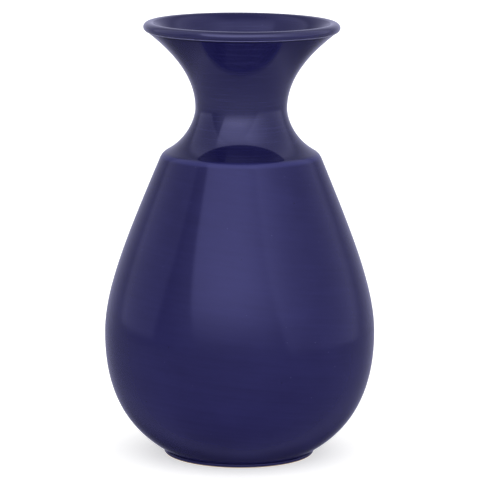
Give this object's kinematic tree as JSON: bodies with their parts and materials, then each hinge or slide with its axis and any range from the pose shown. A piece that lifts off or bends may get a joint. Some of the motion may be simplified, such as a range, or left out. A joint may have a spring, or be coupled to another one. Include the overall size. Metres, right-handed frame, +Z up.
{
  "type": "vase",
  "caption": "Pear-shaped glazed ceramic vase on a low foot, with a crisp shoulder edge, a waisted neck and a trumpet mouth with a rolled lip.",
  "frame": {"origin": "centre of the ring that the foot stands on, at table level", "axes": "+Z up along the axis of turning, -Y towards the viewer; the vase is round, so +X and +Y are free"},
  "size_m": [0.1744, 0.1744, 0.28],
  "materials": {
    "fired_clay": "bare fired stoneware, fine matt buff",
    "indigo_glaze": "glossy deep indigo glaze with faint throwing lines"
  },
  "bodies": {
    "root": {"foot_ring": "fired_clay", "base_disc": "fired_clay", "lower_body": "fired_clay", "upper_body": "fired_clay", "shoulder_collar": "fired_clay", "mouth_flare": "fired_clay", "rim_bead": "fired_clay", "outer_glaze": "indigo_glaze", "liner_glaze": "indigo_glaze", "base_glaze": "indigo_glaze"}
  },
  "joints": []
}
